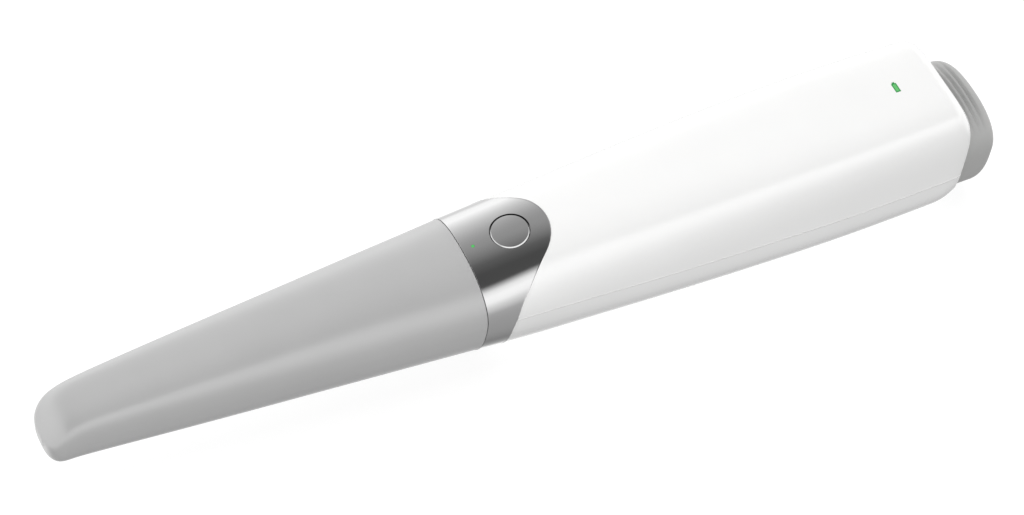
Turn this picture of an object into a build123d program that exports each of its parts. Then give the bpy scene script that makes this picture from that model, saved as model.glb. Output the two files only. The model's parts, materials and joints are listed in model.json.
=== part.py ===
from build123d import *
import math
import os

os.makedirs("parts", exist_ok=True)

# Wireless intraoral camera (mouth scanner). Millimetres.
# +X runs from the scanning tip to the battery end, +Z is up (button side), and
# the origin is below the middle of the body, on the surface that it rests on.
# Distances along the body are given from the front of the tip: see at().

# ---- driving dimensions -------------------------------------------------------
OVERALL_LENGTH = 278.6
SEAM = 118.7                # where the removable tip meets the metal collar
COLLAR_REAR = 126.4         # rear edge of the collar's ring, at RING_HEIGHT
RING_HEIGHT, RING_LEAN = 15.0, 0.04     # the rear edge leans back by this share of the height
BUTTON_AT = 132.6           # centre of the scan button
TONGUE_AT, TONGUE_RADIUS = 131.1, 12.3  # round end of the collar's tongue, behind the button
TONGUE_ROOT = (127.5, 18.9)  # distance and half-width that the tongue's straight edges run to
TONGUE_SIDE = [(126.6, 20.0), (127.0, 23.2), (127.6, 26.3), (128.4, 29.0), (129.6, 31.3),
               (131.1, 33.1), (133.2, 35.0), (136.5, 37.2), (150.0, 40.0)]     # its edge from the side
HOUSING_REAR = 266.6        # rearmost section of the housing, inside its rim

# outlines: (distance from the tip's front, value)
HALF_WIDTH = [(0, 8.2), (60, 13.2), (SEAM, 17.8), (145, 18.6), (172, 19.45), (200, 19.85), (232, 19.7),
              (270, 18.2)]
TOP_LINE = [(0, 29.8), (30, 32.0), (60, 34.1), (90, 36.1), (SEAM, 37.4), (140, 39.9), (170, 41.7),
            (200, 43.2), (232, 44.0), (270, 44.2)]
BELLY_LINE = [(0, 12.4), (60, 6.9), (SEAM, 1.7), (128, 0.75), (140, -0.25), (150, -0.25), (270, -0.25)]
SIDE_FRONT, SIDE_SEAM, SIDE_REAR = 22.6, 25.0, 18.0    # height of the widest line
TOP_POWER = [(0, 3.1), (SEAM, 2.3), (256, 5.2), (270, 5.2)]     # 2 is round, 5 is boxy
BELLY_POWER = [(0, 2.7), (SEAM, 2.15), (256, 3.05), (270, 3.05)]
CREASE_INSET, CREASE_DEPTH = 0.35, 4.0   # the skin steps in by a little below the widest line

# rounded front of the tip
NOSE_HEIGHT, NOSE_SLOPE, NOSE_BLEND = 21.5, 1.4, 6.0
NOSE_ROUND, NOSE_POWER = 6.3, 2.8
NOSE_LIP, NOSE_LIP_LENGTH = 4.5, 3.5
# rounded rear of the housing
REAR_ROUND = 6.0
REAR_DROP_TOP, REAR_DROP_SIDE, REAR_RISE_BELLY = 7.0, 0.7, 6.0

TIP_WALL, SHELL_WALL, BARREL_WALL = 1.5, 1.8, 1.6
TIP_GAP = 0.4               # between the barrel and the removable tip
SLIDE_GAP = 0.3             # between other pieces that move past each other
CREST = 60.0                # a height above everything
STEPS = 12                  # spans in each half of a section's outline
KNOTS = [i / STEPS for i in range(STEPS + 1)]
PARTING_TILT = math.degrees(math.atan((SIDE_SEAM - SIDE_REAR) / (270 - SEAM)))


def at(distance):
    """X of a place given by its distance from the front of the tip."""
    return distance - OVERALL_LENGTH / 2


def along(line, distance):
    """Value of an outline at a distance, by a smooth curve through its points."""
    last = len(line) - 1

    def slope(i):
        before, after = line[max(i - 1, 0)], line[min(i + 1, last)]
        return (after[1] - before[1]) / (after[0] - before[0])

    i = 0
    while i < last - 1 and distance > line[i + 1][0]:
        i += 1
    (x0, y0), (x1, y1) = line[i], line[i + 1]
    span = x1 - x0
    t = (distance - x0) / span
    rise = slope(i) * span * (t ** 3 - 2 * t ** 2 + t) + slope(i + 1) * span * (t ** 3 - t ** 2)
    return y0 * (2 * t ** 3 - 3 * t ** 2 + 1) + y1 * (3 * t ** 2 - 2 * t ** 3) + rise


def side_height(distance):
    """Height of the widest line: almost level on the tip, and falling along the handle."""
    if distance < SEAM:
        return SIDE_FRONT + (SIDE_SEAM - SIDE_FRONT) * distance / SEAM
    return SIDE_SEAM + (SIDE_REAR - SIDE_SEAM) * (distance - SEAM) / (270 - SEAM)


def skin(distance):
    """Half-width, top, belly, widest height and the two powers of the outer skin."""
    wide = along(HALF_WIDTH, distance)
    top = along(TOP_LINE, distance)
    belly = along(BELLY_LINE, distance)
    side = side_height(distance)
    share = (side - belly) / (top - belly)
    if distance < 60:
        front = max(NOSE_HEIGHT + NOSE_SLOPE * distance - belly, 0.1)
        height = (front ** -NOSE_BLEND + (top - belly) ** -NOSE_BLEND) ** (-1 / NOSE_BLEND)
        ahead = max(0.0, 1 - (distance + 0.15) / NOSE_ROUND)
        wide *= (1 - ahead ** NOSE_POWER) ** (1 / NOSE_POWER)
        lip = max(0.0, 1 - distance / NOSE_LIP_LENGTH)
        top = belly + height
        belly += NOSE_LIP * (1 - math.sqrt(1 - lip ** 2))
        side = belly + min(share, 0.75) * (top - belly)
    behind = (distance - (HOUSING_REAR + 0.5 - REAR_ROUND)) / REAR_ROUND
    if behind > 0:
        pull = 1 - math.sqrt(1 - behind ** 2)
        wide -= REAR_DROP_SIDE * pull
        top -= REAR_DROP_TOP * pull
        belly += REAR_RISE_BELLY * pull
    return wide, top, belly, side, along(TOP_POWER, distance), along(BELLY_POWER, distance)


def ring_face(distance, outline, up, down, lean=0.0):
    """Face across the body inside outline(angle); up and down are its heights at the widest line."""
    upper = [Vector(*outline(math.pi * i / STEPS)) for i in range(STEPS + 1)]
    lower = [Vector(*outline(math.pi + math.pi * i / STEPS)) for i in range(STEPS + 1)]
    lower[0], lower[-1] = upper[-1], upper[0]
    rise, fall = math.pi * up, math.pi * down
    with BuildSketch(Plane.YZ.offset(at(distance))) as face:
        with BuildLine():
            add(Edge.make_spline(upper, tangents=[Vector(0, rise), Vector(0, -rise)],
                                 parameters=KNOTS, scale=False))
            add(Edge.make_spline(lower, tangents=[Vector(lean * fall, -fall), Vector(lean * fall, fall)],
                                 parameters=KNOTS, scale=False))
        make_face()
    return face.sketch


def section(distance, inset=0.0, ahead=0.0):
    """Face across the body, inset from the skin, with the skin's shape ahead of it."""
    wide, top, belly, side, top_power, belly_power = skin(distance - ahead)
    wide, top, belly = wide - inset, top - inset, belly + inset
    side = min(side, belly + 0.75 * (top - belly))

    def ring_point(angle):
        c, s = math.cos(angle), math.sin(angle)
        power = top_power if s >= 0 else belly_power
        reach = (abs(c) ** power + abs(s) ** power) ** (-1 / power)
        height = (top - side) if s >= 0 else (side - belly)
        depth = max(0.0, -height * reach * s)
        step_in = CREASE_INSET * (1 - math.exp(-depth / CREASE_DEPTH))
        across = max((wide * reach - step_in) * abs(c), 0.0)
        return (math.copysign(across, c), side + height * reach * s)

    return ring_face(distance, ring_point, top - side, side - belly, CREASE_INSET / CREASE_DEPTH)


def rounded_bar(start, end, width, height, middle, radius):
    """Solid bar along X with a rounded rectangle for its section, centred at height middle."""
    with BuildPart() as bar:
        with BuildSketch(Plane.YZ.offset(at(start))):
            with Locations((0, middle)):
                RectangleRounded(width, height, radius)
        extrude(amount=end - start)
    return bar.part


def plate(start, end, half_width, low, high):
    """Solid block between two distances, two heights and both sides of the middle."""
    with BuildPart() as block:
        with BuildSketch(Plane.XY.offset(low)):
            with Locations(((at(start) + at(end)) / 2, 0)):
                Rectangle(end - start, 2 * half_width)
        extrude(amount=high - low)
    return block.part


def hull(stations, inset=0.0, ahead=0.0):
    """Solid through the body's sections at these distances."""
    with BuildPart() as block:
        loft(sections=[section(d, inset, ahead) for d in stations])
    return block.part


def save(piece, label):
    """Label the finished piece and write its STEP file."""
    piece.part.label = label
    export_step(piece.part, "parts/" + label + ".step")


NOSE_STATIONS = [0.0, 0.4, 1.0, 1.9, 3.2, 5.0, 7.5, 11.0, 16.0, 24.0, 36.0, 50.0]
TIP_STATIONS = NOSE_STATIONS + [65.0, 80.0, 95.0, 107.0, SEAM]
BODY_STATIONS = [SEAM, 124.0, 131.0, 140.0, 152.0, 166.0, 182.0, 200.0, 218.0, 236.0, 250.0, 259.0,
                 261.1, 262.6, 264.0, 265.2, 266.1, HOUSING_REAR]

# ---- removable scanning tip -----------------------------------------------------
MIRROR_TILT = 50.0          # of the mirror, from level
MIRROR_FOOT = (4.2, 13.8)   # distance and height of the lower edge of its seat
MIRROR_THICKNESS = 0.8
WINDOW_MIDDLE, WINDOW_LENGTH, WINDOW_WIDTH, WINDOW_RADIUS = 10.2, 11.0, 11.0, 2.2
SEAT_STATIONS = [3.0, 4.0, 5.5, 8.0, 12.0, 18.0]
TIP_CAVITY_STATIONS = SEAT_STATIONS + [26.0, 36.0, 50.0, 65.0, 80.0, 95.0, 107.0, SEAM]

mirror_seat = Plane(origin=(at(MIRROR_FOOT[0]), 0, MIRROR_FOOT[1]), x_dir=(0, 1, 0),
                    z_dir=(math.sin(math.radians(MIRROR_TILT)), 0, -math.cos(math.radians(MIRROR_TILT))))

with BuildPart() as tip_cavity:
    add(hull(TIP_CAVITY_STATIONS, TIP_WALL, TIP_WALL))
    split(bisect_by=mirror_seat, keep=Keep.TOP)

with BuildPart() as scan_tip:
    add(hull(TIP_STATIONS))
    add(tip_cavity.part, mode=Mode.SUBTRACT)
    with BuildSketch(Plane.XY):
        with Locations((at(WINDOW_MIDDLE), 0)):
            RectangleRounded(WINDOW_LENGTH, WINDOW_WIDTH, WINDOW_RADIUS)
    extrude(amount=MIRROR_FOOT[1] + 0.4, mode=Mode.SUBTRACT)
save(scan_tip, "scan_tip")

with BuildPart() as tip_mirror:
    add(hull(SEAT_STATIONS, TIP_WALL + 0.35, TIP_WALL))
    with BuildSketch(mirror_seat):
        Rectangle(60, 60)
    extrude(amount=MIRROR_THICKNESS, mode=Mode.INTERSECT)
save(tip_mirror, "tip_mirror")

# ---- barrel that carries the tip and the optics ----------------------------------
BARREL_FRONT, BARREL_REAR = 72.0, 127.5
BARREL_STATIONS = [80.0, 95.0, 107.0, SEAM, 124.0, BARREL_REAR]
BARREL_INSET = TIP_WALL + TIP_GAP
BORE_INSET = BARREL_INSET + BARREL_WALL
OPTICAL_HEIGHT = 19.6       # of the optical axis
PANE_WIDTH, PANE_HEIGHT, PANE_RADIUS, PANE_THICKNESS = 17.0, 13.5, 4.0, 1.5
PANE_RECESS = 1.7
PANE_LAND = 1.0             # ledge that the pane rests on
SEAL_AT, SEAL_WIDTH, SEAL_DEPTH = 113.0, 2.0, 0.8
DETENT_AT, DETENT_RADIUS = 104.0, 1.5
NOTCH_FRONT, NOTCH_HALF_WIDTH, NOTCH_FLOOR = 119.8, 9.0, 28.0   # room for the button's parts


def barrel_band(start, end, outer, inner):
    """Ring that follows the barrel between two distances, between two insets."""
    with BuildPart() as band:
        add(hull([start, end], outer))
        add(hull([start, end], inner), mode=Mode.SUBTRACT)
    return band.part


def side_pins(radius, inner, outer):
    """Pair of pins across the barrel's sides at the detents."""
    with BuildPart() as pins:
        with BuildSketch(Plane.XZ.offset(inner)):
            with Locations((at(DETENT_AT), OPTICAL_HEIGHT)):
                Circle(radius)
        extrude(amount=outer - inner)
        mirror(about=Plane.XZ)
    return pins.part


with BuildPart() as snout_barrel:
    add(hull([BARREL_FRONT] + BARREL_STATIONS, BARREL_INSET))
    add(hull([BARREL_FRONT + 4.0] + BARREL_STATIONS[1:], BORE_INSET), mode=Mode.SUBTRACT)
    add(rounded_bar(BARREL_FRONT, BARREL_FRONT + PANE_RECESS, PANE_WIDTH, PANE_HEIGHT,
                    OPTICAL_HEIGHT, PANE_RADIUS), mode=Mode.SUBTRACT)
    add(rounded_bar(BARREL_FRONT, BARREL_FRONT + 5.0, PANE_WIDTH - 2 * PANE_LAND,
                    PANE_HEIGHT - 2 * PANE_LAND, OPTICAL_HEIGHT, PANE_RADIUS - PANE_LAND),
        mode=Mode.SUBTRACT)
    add(barrel_band(SEAL_AT - SEAL_WIDTH / 2 - 0.1, SEAL_AT + SEAL_WIDTH / 2 + 0.1, 0.5,
                    BARREL_INSET + SEAL_DEPTH), mode=Mode.SUBTRACT)
    add(side_pins(DETENT_RADIUS + 0.05, 8.0, 20.0), mode=Mode.SUBTRACT)
    with BuildSketch(Plane.XY.offset(NOTCH_FLOOR)):
        with Locations((at(NOTCH_FRONT) + 20, 0)):
            Rectangle(40, 2 * NOTCH_HALF_WIDTH)
    extrude(amount=20, mode=Mode.SUBTRACT)
save(snout_barrel, "snout_barrel")

with BuildPart() as snout_window:
    add(rounded_bar(BARREL_FRONT + PANE_RECESS - PANE_THICKNESS, BARREL_FRONT + PANE_RECESS,
                    PANE_WIDTH - 0.1, PANE_HEIGHT - 0.1, OPTICAL_HEIGHT, PANE_RADIUS))
save(snout_window, "snout_window")

HEATER_AT, HEATER_THICKNESS, HEATER_BAND = 76.1, 0.8, 2.0
with BuildPart() as window_heater:
    add(rounded_bar(HEATER_AT, HEATER_AT + HEATER_THICKNESS, PANE_WIDTH, PANE_HEIGHT,
                    OPTICAL_HEIGHT, PANE_RADIUS))
    add(rounded_bar(HEATER_AT, HEATER_AT + HEATER_THICKNESS, PANE_WIDTH - 2 * HEATER_BAND,
                    PANE_HEIGHT - 2 * HEATER_BAND, OPTICAL_HEIGHT, PANE_RADIUS - HEATER_BAND / 2),
        mode=Mode.SUBTRACT)
save(window_heater, "window_heater")

with BuildPart() as barrel_seal:
    add(barrel_band(SEAL_AT - SEAL_WIDTH / 2, SEAL_AT + SEAL_WIDTH / 2, BARREL_INSET - 0.15,
                    BARREL_INSET + SEAL_DEPTH))
save(barrel_seal, "barrel_seal")

barrel_side = along(HALF_WIDTH, DETENT_AT) - BARREL_INSET - 0.7    # at the detents' height
with BuildPart() as detent_plungers:
    add(side_pins(DETENT_RADIUS, barrel_side - BARREL_WALL - 0.6, barrel_side - 0.6))
    add(side_pins(DETENT_RADIUS * 0.6, barrel_side - 0.6, barrel_side - 0.1))
save(detent_plungers, "detent_plungers")

# ---- housing, collar and button --------------------------------------------------
CAVITY_REAR = 256.0
CAP_HALF_WIDTH, CAP_TOP, CAP_BELLY, CAP_SIDE = 16.8, 33.4, 3.0, 21.8
CAP_TOP_POWER, CAP_BELLY_POWER = 2.3, 2.9
BOSS_PLACES = [(147.5, 10.0), (184.0, 10.0)]
BOSS_RADIUS, BOSS_TOP, CHASSIS_SCREW_RADIUS = 2.8, 9.5, 0.95
ICON_AT, ICON_LENGTH, ICON_WIDTH, ICON_NUB = 250.6, 3.1, 1.5, 0.45


def cap_section(distance, grow=0.0, lower_top=0.0):
    """Face across the battery's end cap, grown all round or with its top lowered."""
    wide = CAP_HALF_WIDTH + grow
    top, belly = CAP_TOP + grow - lower_top, CAP_BELLY - grow

    def ring_point(angle):
        c, s = math.cos(angle), math.sin(angle)
        power = CAP_TOP_POWER if s >= 0 else CAP_BELLY_POWER
        reach = (abs(c) ** power + abs(s) ** power) ** (-1 / power)
        height = (top - CAP_SIDE) if s >= 0 else (CAP_SIDE - belly)
        return (wide * reach * c, CAP_SIDE + height * reach * s)

    return ring_face(distance, ring_point, top - CAP_SIDE, CAP_SIDE - belly)


def cap_bar(start, end, grow=0.0, lower_top=0.0):
    """Straight bar with the cap's section."""
    with BuildPart() as bar:
        add(cap_section(start, grow, lower_top))
        extrude(amount=end - start, dir=(1, 0, 0))
    return bar.part


body_block = hull(BODY_STATIONS)

# region that the collar takes from the skin: a ring, and a tongue on the upper side
root_x, root_y = TONGUE_ROOT[0] - TONGUE_AT, -TONGUE_ROOT[1]
root_reach = math.hypot(root_x, root_y)
tangent_angle = math.atan2(root_y, root_x) + math.acos(TONGUE_RADIUS / root_reach)
tongue_near = (at(TONGUE_AT) + TONGUE_RADIUS * math.cos(tangent_angle),
               TONGUE_RADIUS * math.sin(tangent_angle))
tongue_far = (tongue_near[0], -tongue_near[1])
ring_low = COLLAR_REAR - RING_LEAN * (RING_HEIGHT + 5)
ring_high = COLLAR_REAR + RING_LEAN * (CREST - RING_HEIGHT)

with BuildPart() as tongue_zone:
    with BuildSketch(Plane.XY):
        with BuildLine():
            ThreePointArc(tongue_near, (at(TONGUE_AT) + TONGUE_RADIUS, 0), tongue_far)
            Polyline(tongue_far, (at(TONGUE_ROOT[0]), TONGUE_ROOT[1]), (at(SEAM + 1), TONGUE_ROOT[1]),
                     (at(SEAM + 1), -TONGUE_ROOT[1]), (at(TONGUE_ROOT[0]), -TONGUE_ROOT[1]), tongue_near)
        make_face()
    extrude(amount=CREST)
    with BuildSketch(Plane.XZ):
        with BuildLine():
            Polyline((at(SEAM + 1), CREST), (at(SEAM + 1), TONGUE_SIDE[0][1]),
                     *[(at(d), z) for d, z in TONGUE_SIDE], (at(TONGUE_SIDE[-1][0]), CREST), close=True)
        make_face()
    extrude(amount=40, both=True, mode=Mode.INTERSECT)

with BuildPart() as collar_zone:
    with BuildSketch(Plane.XZ):
        with BuildLine():
            Polyline((at(SEAM), -5), (at(ring_low), -5), (at(ring_high), CREST), (at(SEAM), CREST),
                     close=True)
        make_face()
    extrude(amount=40, both=True)
    add(tongue_zone.part)

with BuildPart() as cavity:
    add(hull([SEAM, 124.0, 131.0, 140.0, 152.0, 166.0, 182.0, 200.0, 218.0, 236.0, CAVITY_REAR], SHELL_WALL))
    for distance, offset_y in BOSS_PLACES:
        with BuildSketch(Plane.XY.offset(-2)):
            with Locations((at(distance), offset_y), (at(distance), -offset_y)):
                Circle(BOSS_RADIUS)
        extrude(amount=BOSS_TOP + 2, mode=Mode.SUBTRACT)

# button frame: origin on the skin above the button, Z along the outward normal
button_rise = along(TOP_LINE, BUTTON_AT + 0.5) - along(TOP_LINE, BUTTON_AT - 0.5)
button_plane = Plane(origin=(at(BUTTON_AT), 0, along(TOP_LINE, BUTTON_AT)), x_dir=(1, 0, button_rise),
                     z_dir=(-button_rise, 0, 1))
BUTTON_RADIUS, BUTTON_GAP = 5.35, 0.2
FLANGE_RADIUS, FLANGE_TOP, FLANGE_THICKNESS = 6.4, -2.35, 0.8
STEM_RADIUS, STEM_END = 1.8, -6.0
LED_AT, LED_RADIUS = 121.8, 0.45
led_x = LED_AT - BUTTON_AT

with BuildPart() as collar:
    add(body_block)
    add(collar_zone.part, mode=Mode.INTERSECT)
    add(cavity.part, mode=Mode.SUBTRACT)
    with BuildSketch(button_plane.offset(-6)):
        Circle(BUTTON_RADIUS + BUTTON_GAP)
        with Locations((led_x, 0)):
            Circle(LED_RADIUS + 0.05)
    extrude(amount=12, mode=Mode.SUBTRACT)
save(collar, "collar")

with BuildPart() as scan_button:
    add(body_block)
    with BuildSketch(button_plane.offset(FLANGE_TOP - FLANGE_THICKNESS / 2)):
        Circle(BUTTON_RADIUS)
    extrude(amount=8, mode=Mode.INTERSECT)
    with BuildSketch(button_plane.offset(FLANGE_TOP - FLANGE_THICKNESS)):
        Circle(FLANGE_RADIUS)
    extrude(amount=FLANGE_THICKNESS)
    with BuildSketch(button_plane.offset(STEM_END)):
        Circle(STEM_RADIUS)
    extrude(amount=FLANGE_TOP - STEM_END - 0.1)
save(scan_button, "scan_button")

DOME_OUTER, DOME_INNER, BOARD_TOP, BOARD_THICKNESS = 3.6, 2.5, -8.0, 0.8
with BuildPart() as button_dome:
    with BuildSketch(button_plane.offset(BOARD_TOP)):
        Circle(DOME_OUTER)
        Circle(DOME_INNER, mode=Mode.SUBTRACT)
    extrude(amount=FLANGE_TOP - FLANGE_THICKNESS - BOARD_TOP)
save(button_dome, "button_dome")

SWITCH_SIZE, SWITCH_TOP, PLUNGER_TOP = 3.2, -7.1, -6.75
with BuildPart() as tact_switch:
    with BuildSketch(button_plane.offset(BOARD_TOP)):
        Rectangle(SWITCH_SIZE, SWITCH_SIZE)
    extrude(amount=SWITCH_TOP - BOARD_TOP)
    with BuildSketch(button_plane.offset(SWITCH_TOP)):
        Circle(1.0)
    extrude(amount=PLUNGER_TOP - SWITCH_TOP)
save(tact_switch, "tact_switch")

BOARD_FRONT, BOARD_BACK, BOARD_HALF = -12.0, 7.0, 6.5
with BuildPart() as button_board:
    with BuildSketch(button_plane.offset(BOARD_TOP - BOARD_THICKNESS)):
        with Locations(((BOARD_FRONT + BOARD_BACK) / 2, 0)):
            Rectangle(BOARD_BACK - BOARD_FRONT, 2 * BOARD_HALF)
    extrude(amount=BOARD_THICKNESS)
save(button_board, "button_board")

BRACKET_FLOOR, BRACKET_WALL, BRACKET_LIP = -9.9, 1.0, 1.2
with BuildPart() as button_bracket:
    with BuildSketch(button_plane.offset(BRACKET_FLOOR)):
        with Locations(((BOARD_FRONT + BOARD_BACK) / 2, 0)):
            Rectangle(BOARD_BACK - BOARD_FRONT, 2 * (BOARD_HALF + BRACKET_WALL))
    extrude(amount=BOARD_TOP - BRACKET_FLOOR + BRACKET_LIP)
    with BuildSketch(button_plane.offset(BOARD_TOP - BOARD_THICKNESS)):
        with Locations(((BOARD_FRONT + BOARD_BACK) / 2, 0)):
            Rectangle(BOARD_BACK - BOARD_FRONT + 2, 2 * BOARD_HALF + 0.1)
    extrude(amount=6, mode=Mode.SUBTRACT)
save(button_bracket, "button_bracket")

with BuildPart() as status_light_pipe:
    add(body_block)
    with BuildSketch(button_plane.offset(BOARD_TOP + 0.1)):
        with Locations((led_x, 0)):
            Circle(LED_RADIUS)
    extrude(amount=12, mode=Mode.INTERSECT)
save(status_light_pipe, "status_light_pipe")

# both housing shells are cut from one hollow block along the widest line
parting_plane = Plane(origin=(at(SEAM), 0, SIDE_SEAM), x_dir=(0, 1, 0),
                      z_dir=(math.sin(math.radians(PARTING_TILT)), 0, math.cos(math.radians(PARTING_TILT))))
icon_reach = ICON_LENGTH / 2


def icon_outline(grow):
    """Battery-shaped outline on the level plane at the icon: a bar with a small nub."""
    with BuildSketch(Plane.XY.offset(30)) as icon:
        with Locations((at(ICON_AT), 0)):
            Rectangle(ICON_WIDTH + 2 * grow, ICON_LENGTH + 2 * grow)
        with Locations((at(ICON_AT), icon_reach + ICON_NUB / 2)):
            Rectangle(ICON_WIDTH / 2 + 2 * grow, ICON_NUB + 2 * grow)
    return icon.sketch


with BuildPart() as icon_hole:
    add(icon_outline(0.03))
    extrude(amount=CREST - 30, dir=(0, 0, 1))

with BuildPart() as housing_block:
    add(body_block)
    add(collar_zone.part, mode=Mode.SUBTRACT)
    add(cavity.part, mode=Mode.SUBTRACT)
    add(cap_bar(CAVITY_REAR - 2, HOUSING_REAR + 5, SLIDE_GAP), mode=Mode.SUBTRACT)

with BuildPart() as upper_housing:
    add(housing_block.part)
    split(bisect_by=parting_plane, keep=Keep.TOP)
    add(icon_hole.part, mode=Mode.SUBTRACT)
save(upper_housing, "upper_housing")

with BuildPart() as lower_housing:
    add(housing_block.part)
    split(bisect_by=parting_plane, keep=Keep.BOTTOM)
    for distance, offset_y in BOSS_PLACES:
        with BuildSketch(Plane.XY.offset(BOSS_TOP - 5.5)):
            with Locations((at(distance), offset_y), (at(distance), -offset_y)):
                Circle(CHASSIS_SCREW_RADIUS + 0.05)
        extrude(amount=10, mode=Mode.SUBTRACT)
    with BuildSketch(Plane.XY):
        Rectangle(2 * OVERALL_LENGTH, 100)
    extrude(amount=-10, mode=Mode.SUBTRACT)
save(lower_housing, "lower_housing")


# ---- battery indicator in the housing's top --------------------------------------
BAY_FRONT, BAY_REAR, BAY_MIDDLE = 203.0, 255.8, 19.2
BAY_WIDTH, BAY_HEIGHT, BAY_RADIUS, BAY_WALL = 32.2, 29.8, 9.0, 1.3
bay_top = BAY_MIDDLE + BAY_HEIGHT / 2
INDICATOR_BOARD_THICKNESS, PIPE_RADIUS = 1.0, 1.3

with BuildPart() as icon_core:
    add(icon_outline(0.0))
    extrude(amount=CREST - 30, dir=(0, 0, 1))

with BuildPart() as battery_indicator:
    add(body_block)
    add(icon_core.part, mode=Mode.INTERSECT)
    with BuildSketch(Plane.XY):
        Rectangle(2 * OVERALL_LENGTH, 100)
    extrude(amount=along(TOP_LINE, ICON_AT) - SHELL_WALL, mode=Mode.SUBTRACT)
save(battery_indicator, "battery_indicator")

with BuildPart() as indicator_board:
    with BuildSketch(Plane.XY.offset(bay_top)):
        with Locations((at(ICON_AT), 0)):
            Rectangle(8, 14)
    extrude(amount=INDICATOR_BOARD_THICKNESS)
save(indicator_board, "indicator_board")

with BuildPart() as indicator_light_pipe:
    with BuildSketch(Plane.XY.offset(bay_top + INDICATOR_BOARD_THICKNESS + 0.1)):
        with Locations((at(ICON_AT), 0)):
            Circle(PIPE_RADIUS)
    extrude(amount=along(TOP_LINE, ICON_AT) - SHELL_WALL - 0.3 - bay_top - INDICATOR_BOARD_THICKNESS)
save(indicator_light_pipe, "indicator_light_pipe")

# ---- chassis and electronics ----------------------------------------------------
CHASSIS_FRONT, CHASSIS_STEP, CHASSIS_REAR = 103.0, 134.0, 199.0
CHASSIS_NARROW, CHASSIS_WIDE, CHASSIS_THICKNESS = 5.0, 12.5, 2.0
chassis_top = BOSS_TOP + CHASSIS_THICKNESS
BOARD_LEVEL, PCB, MAIN_BOARD_HALF = 14.5, 1.2, 10.5
MAIN_BOARD_FRONT, MAIN_BOARD_REAR = 136.0, 196.0
POST_PLACES = [(MAIN_BOARD_FRONT + 3.5, 7.5), (MAIN_BOARD_REAR - 3.5, 7.5)]
POST_RADIUS, BOARD_SCREW_RADIUS = 2.2, 0.8
HEAD_RADIUS, HEAD_HEIGHT = 1.7, 1.3
fours = [(at(d), side * y) for d, y in BOSS_PLACES for side in (1, -1)]
posts = [(at(d), side * y) for d, y in POST_PLACES for side in (1, -1)]

with BuildPart() as chassis:
    add(plate(CHASSIS_FRONT, CHASSIS_STEP + 1, CHASSIS_NARROW, BOSS_TOP, chassis_top))
    add(plate(CHASSIS_STEP, CHASSIS_REAR, CHASSIS_WIDE, BOSS_TOP, chassis_top))
    with BuildSketch(Plane.XY.offset(chassis_top)):
        with Locations(*posts):
            Circle(POST_RADIUS)
    extrude(amount=BOARD_LEVEL - chassis_top)
    with BuildSketch(Plane.XY.offset(BOSS_TOP)):
        with Locations(*fours):
            Circle(CHASSIS_SCREW_RADIUS + 0.1)
    extrude(amount=CHASSIS_THICKNESS, mode=Mode.SUBTRACT)
    with BuildSketch(Plane.XY.offset(chassis_top - 1)):
        with Locations(*posts):
            Circle(BOARD_SCREW_RADIUS + 0.05)
    extrude(amount=BOARD_LEVEL - chassis_top + 2, mode=Mode.SUBTRACT)
    with BuildSketch(Plane.XY.offset(BOSS_TOP)):
        with GridLocations(11, 0, 3, 1):
            with Locations((at(170), 0)):
                RectangleRounded(7, 14, 2)
    extrude(amount=CHASSIS_THICKNESS, mode=Mode.SUBTRACT)
save(chassis, "chassis")


def screws(places, seat, shank, shank_radius):
    """Identical pan-head screws with their heads seated at a height."""
    with BuildPart() as group:
        with BuildSketch(Plane.XY.offset(seat)):
            with Locations(*places):
                Circle(HEAD_RADIUS)
        extrude(amount=HEAD_HEIGHT)
        with BuildSketch(Plane.XY.offset(seat + HEAD_HEIGHT - 0.7)):
            with Locations(*places):
                Rectangle(2 * HEAD_RADIUS - 0.8, 0.4)
                Rectangle(0.4, 2 * HEAD_RADIUS - 0.8)
        extrude(amount=1, mode=Mode.SUBTRACT)
        with BuildSketch(Plane.XY.offset(seat - shank)):
            with Locations(*places):
                Circle(shank_radius)
        extrude(amount=shank)
    return group


chassis_screws = screws(fours, chassis_top, 7.0, CHASSIS_SCREW_RADIUS)
save(chassis_screws, "chassis_screws")
board_screws = screws(posts, BOARD_LEVEL + PCB, 4.6, BOARD_SCREW_RADIUS)
save(board_screws, "board_screws")

with BuildPart() as main_board:
    add(plate(MAIN_BOARD_FRONT, MAIN_BOARD_REAR, MAIN_BOARD_HALF, BOARD_LEVEL, BOARD_LEVEL + PCB))
    with BuildSketch(Plane.XY.offset(BOARD_LEVEL)):
        with Locations(*posts):
            Circle(BOARD_SCREW_RADIUS + 0.1)
    extrude(amount=PCB, mode=Mode.SUBTRACT)
save(main_board, "main_board")

board_face = BOARD_LEVEL + PCB
with BuildPart() as processor:
    add(plate(157.0, 171.0, 7.0, board_face, board_face + 1.4))
save(processor, "processor")

FIN_PITCH, FIN_THICKNESS, FIN_COUNT = 2.6, 0.9, 7
with BuildPart() as heat_spreader:
    add(plate(153.0, 175.0, 9.0, board_face + 1.4, board_face + 3.0))
    with BuildSketch(Plane.XY.offset(board_face + 3.0)):
        with Locations((at(164.0), 0)):
            with GridLocations(0, FIN_PITCH, 1, FIN_COUNT):
                Rectangle(22.0, FIN_THICKNESS)
    extrude(amount=4.0)
save(heat_spreader, "heat_spreader")

with BuildPart() as wireless_module:
    add(plate(179.0, 190.0, 4.6, board_face, board_face + 2.2))
save(wireless_module, "wireless_module")

with BuildPart() as board_connector:
    add(plate(144.5, 149.0, 6.5, board_face, board_face + 2.6))
    add(plate(143.0, 147.5, 5.7, board_face + 0.9, board_face + 1.7), mode=Mode.SUBTRACT)
save(board_connector, "board_connector")

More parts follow.
